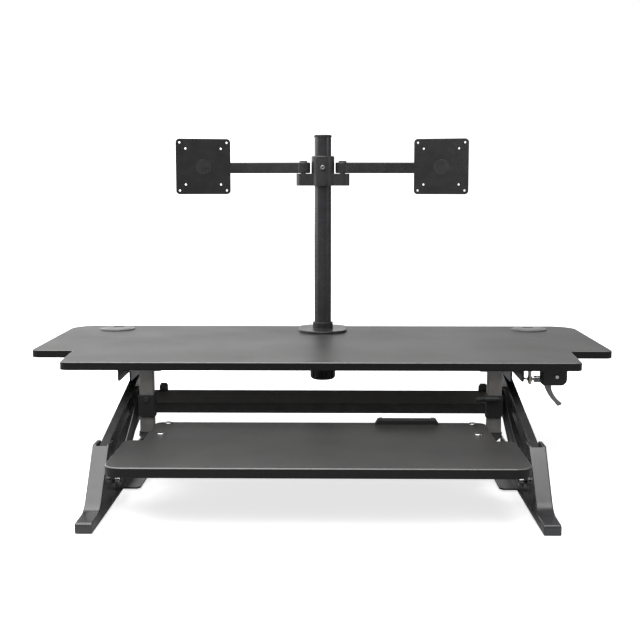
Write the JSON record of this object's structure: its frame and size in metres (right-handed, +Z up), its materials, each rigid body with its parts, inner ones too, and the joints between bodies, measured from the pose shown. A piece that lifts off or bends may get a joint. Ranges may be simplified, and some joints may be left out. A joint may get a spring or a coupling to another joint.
{
  "type": "standing desk converter",
  "caption": "Sit-stand riser: a wide winged desktop over a lower keyboard tray on parallel lifting arms, with a pole that carries monitor arms.",
  "frame": {"origin": "on the desk's surface, under the middle of the converter's overall box, with the platform at its pictured height", "axes": "+X to the user's right, +Y away from the user, +Z up"},
  "size_m": [1.168, 0.867, 0.671],
  "materials": {
    "frame_black": "satin powder coat",
    "foot_black": "semi-gloss black powder coat",
    "arm_black": "semi-gloss black powder coat",
    "desk_laminate": "black laminated board, fine satin grain",
    "pole_black": "semi-gloss black powder coat",
    "mount_black": "satin black powder coat",
    "black_plastic": "matt moulded",
    "rubber": "matt",
    "zinc": "zinc plated",
    "chrome": "polished",
    "brass": "satin",
    "cable": "black sheath"
  },
  "bodies": {
    "base": {"base_rail_left": "frame_black", "base_rail_right": "frame_black", "foot_casting_left": "foot_black", "foot_casting_right": "foot_black", "rear_base_bar": "frame_black", "base_screws": "zinc", "rubber_feet": "rubber", "lower_pivot_bolts": "zinc", "spring_lower_pins": "zinc"},
    "lift_arms": {"main_arm_left": "arm_black", "main_arm_right": "arm_black", "spring_upper_pins": "zinc"},
    "link_arms": {"link_arm_left": "arm_black", "link_arm_right": "arm_black", "crossbeam": "frame_black", "crossbeam_screws": "zinc"},
    "platform": {"desktop": "desk_laminate", "desktop_screws": "zinc", "platform_rail_left": "frame_black", "platform_rail_right": "frame_black", "platform_bar": "frame_black", "upper_pivot_bolts": "zinc", "tray_hangers": "mount_black", "hanger_sleeves": "black_plastic", "tray_brackets": "frame_black", "hanger_bolt": "zinc", "keyboard_tray": "desk_laminate", "tray_bolts": "chrome", "tray_stop_bar": "black_plastic", "stop_bar_screws": "chrome", "lever_housing": "black_plastic", "lever_pin": "chrome", "cable_anchor": "zinc", "cable_adjuster": "brass", "cable_spring": "chrome", "release_cable": "cable", "grommet_rings": "black_plastic", "pole_flange": "frame_black", "monitor_pole": "pole_black", "pole_cap": "black_plastic", "clamp_stud": "zinc", "clamp_plate": "frame_black"},
    "spring_rods": {"spring_rods": "chrome"},
    "spring_cylinders": {"spring_cylinders": "frame_black"},
    "release_lever": {"release_lever": "mount_black"},
    "tray_plunger": {"tray_plunger": "black_plastic"},
    "clamp_knob": {"clamp_knob": "black_plastic"},
    "pole_collar": {"pole_collar": "mount_black"},
    "grommet_cap_left": {"grommet_cap_left": "black_plastic"},
    "inner_link_left": {"inner_link_left": "mount_black"},
    "outer_link_left": {"outer_link_left": "mount_black"},
    "head_swivel_left": {"head_swivel_left": "mount_black"},
    "tilt_bracket_left": {"tilt_bracket_left": "mount_black"},
    "vesa_plate_left": {"vesa_plate_left": "frame_black"},
    "grommet_cap_right": {"grommet_cap_right": "black_plastic"},
    "inner_link_right": {"inner_link_right": "mount_black"},
    "outer_link_right": {"outer_link_right": "mount_black"},
    "head_swivel_right": {"head_swivel_right": "mount_black"},
    "tilt_bracket_right": {"tilt_bracket_right": "mount_black"},
    "vesa_plate_right": {"vesa_plate_right": "frame_black"}
  },
  "joints": [
    {"name": "lift", "type": "hinge", "parent": "base", "child": "lift_arms", "pos_m": [0, -0.2755, 0.0924], "axis": [1, 0, 0], "range_deg": [-11, 47.6]},
    {"name": "link_swing", "type": "hinge", "parent": "base", "child": "link_arms", "pos_m": [0, -0.2305, 0.0424], "axis": [1, 0, 0], "range_deg": [-11.5, 48.1]},
    {"name": "platform_level", "type": "hinge", "parent": "lift_arms", "child": "platform", "pos_m": [0, 0.12494, 0.18044], "axis": [1, 0, 0], "range_deg": [-48.1, 11.5]},
    {"name": "spring_tilt", "type": "hinge", "parent": "base", "child": "spring_rods", "pos_m": [0, -0.2535, 0.042], "axis": [1, 0, 0], "range_deg": [-11, 47.6]},
    {"name": "spring_stroke", "type": "slide", "parent": "spring_rods", "child": "spring_cylinders", "axis": [0, 0.9208, 0.3901], "range_m": [-0.012, 0.045]},
    {"name": "release_lever_turn", "type": "hinge", "parent": "platform", "child": "release_lever", "pos_m": [0.4475, -0.0695, 0.199], "axis": [0, -1, 0], "range_deg": [0, 18], "stiffness_Nm_per_rad": 0.6},
    {"name": "tray_plunger_pull", "type": "slide", "parent": "platform", "child": "tray_plunger", "axis": [-1, 0, 0], "range_m": [0, 0.008], "stiffness_N_per_m": 400},
    {"name": "grommet_cap_turn_left", "type": "hinge", "parent": "platform", "child": "grommet_cap_left", "pos_m": [-0.473, 0.3665, 0.231], "axis": [0, 0, 1], "continuous": true},
    {"name": "grommet_cap_turn_right", "type": "hinge", "parent": "platform", "child": "grommet_cap_right", "pos_m": [0.473, 0.3665, 0.231], "axis": [0, 0, 1], "continuous": true},
    {"name": "clamp_knob_turn", "type": "hinge", "parent": "platform", "child": "clamp_knob", "pos_m": [0, 0.3515, 0.13], "axis": [0, 0, 1], "continuous": true},
    {"name": "collar_height", "type": "slide", "parent": "platform", "child": "pole_collar", "axis": [0, 0, 1], "range_m": [-0.12, 0.03]},
    {"name": "shoulder_left", "type": "hinge", "parent": "pole_collar", "child": "inner_link_left", "pos_m": [-0.044, 0.3515, 0.598], "axis": [0, 0, 1], "range_deg": [-30, 60]},
    {"name": "elbow_left", "type": "hinge", "parent": "inner_link_left", "child": "outer_link_left", "pos_m": [-0.235, 0.3665, 0.622], "axis": [0, 0, 1], "range_deg": [-60, 42]},
    {"name": "head_turn_left", "type": "hinge", "parent": "outer_link_left", "child": "head_swivel_left", "pos_m": [-0.268, 0.2565, 0.598], "axis": [0, 0, 1], "range_deg": [-35, 35]},
    {"name": "head_tilt_left", "type": "hinge", "parent": "head_swivel_left", "child": "tilt_bracket_left", "pos_m": [-0.25808, 0.2219, 0.598], "axis": [0.9613, 0.2756, 0], "range_deg": [-15, 20]},
    {"name": "plate_turn_left", "type": "hinge", "parent": "tilt_bracket_left", "child": "vesa_plate_left", "pos_m": [-0.25091, 0.1969, 0.598], "axis": [0.2756, -0.9613, 0], "range_deg": [-90, 90]},
    {"name": "shoulder_right", "type": "hinge", "parent": "pole_collar", "child": "inner_link_right", "pos_m": [0.044, 0.3515, 0.598], "axis": [0, 0, 1], "range_deg": [-60, 30]},
    {"name": "elbow_right", "type": "hinge", "parent": "inner_link_right", "child": "outer_link_right", "pos_m": [0.235, 0.3665, 0.622], "axis": [0, 0, 1], "range_deg": [-42, 60]},
    {"name": "head_turn_right", "type": "hinge", "parent": "outer_link_right", "child": "head_swivel_right", "pos_m": [0.268, 0.2565, 0.598], "axis": [0, 0, 1], "range_deg": [-35, 35]},
    {"name": "head_tilt_right", "type": "hinge", "parent": "head_swivel_right", "child": "tilt_bracket_right", "pos_m": [0.25808, 0.2219, 0.598], "axis": [0.9613, -0.2756, 0], "range_deg": [-15, 20]},
    {"name": "plate_turn_right", "type": "hinge", "parent": "tilt_bracket_right", "child": "vesa_plate_right", "pos_m": [0.25091, 0.1969, 0.598], "axis": [-0.2756, -0.9613, 0], "range_deg": [-90, 90]}
  ],
  "couplings": [
    {"joint": "link_swing", "follows": "lift", "ratio": 1},
    {"joint": "platform_level", "follows": "lift", "ratio": -1},
    {"joint": "spring_tilt", "follows": "lift", "ratio": 0.95084},
    {"joint": "spring_stroke", "follows": "lift", "m_per_rad": 0.050718}
  ]
}
